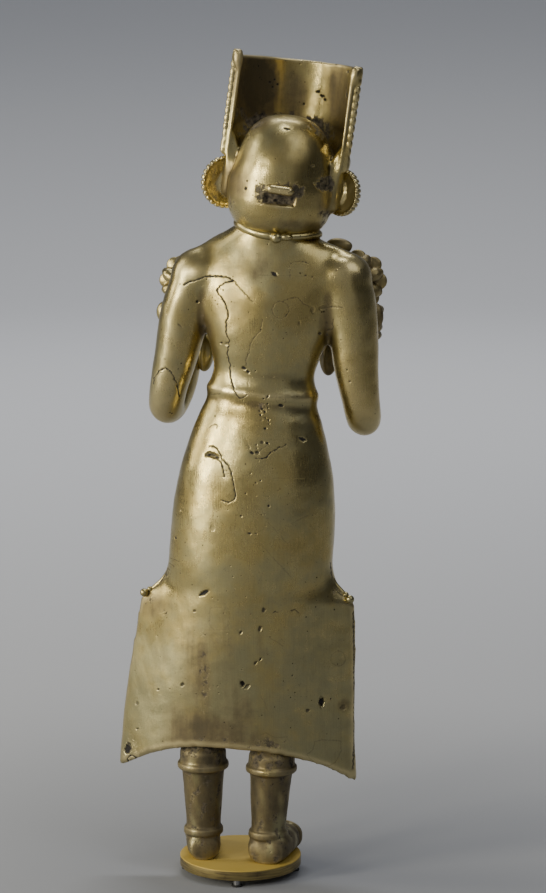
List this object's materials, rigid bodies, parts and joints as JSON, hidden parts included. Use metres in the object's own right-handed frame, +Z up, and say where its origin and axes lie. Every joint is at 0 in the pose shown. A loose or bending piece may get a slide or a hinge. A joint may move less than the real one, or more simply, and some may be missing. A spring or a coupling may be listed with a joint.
{
  "type": "standing surya figure on a round base plate",
  "caption": "Cast brass standing sun god with a half-shell crown, lotuses at the shoulders, long flared coat and boots, on a round plate with levelling feet.",
  "frame": {"origin": "at floor level, under the middle of the whole object's outline", "axes": "+Z up, the figure faces -Y, its left hand is on the +X side"},
  "size_m": [0.1684, 0.0926, 0.5257],
  "materials": {
    "brass": "worn satin, patinated",
    "plate_brass": "yellow matte top with a brushed rim",
    "steel": "brushed",
    "rubber": "matte"
  },
  "bodies": {
    "root": {"figure": "brass", "base_plate": "plate_brass", "foot_stud_back": "steel", "foot_stud_left": "steel", "foot_stud_front": "steel", "foot_stud_right": "steel", "foot_pad_back": "rubber", "foot_pad_left": "rubber", "foot_pad_front": "rubber", "foot_pad_right": "rubber"}
  },
  "joints": []
}
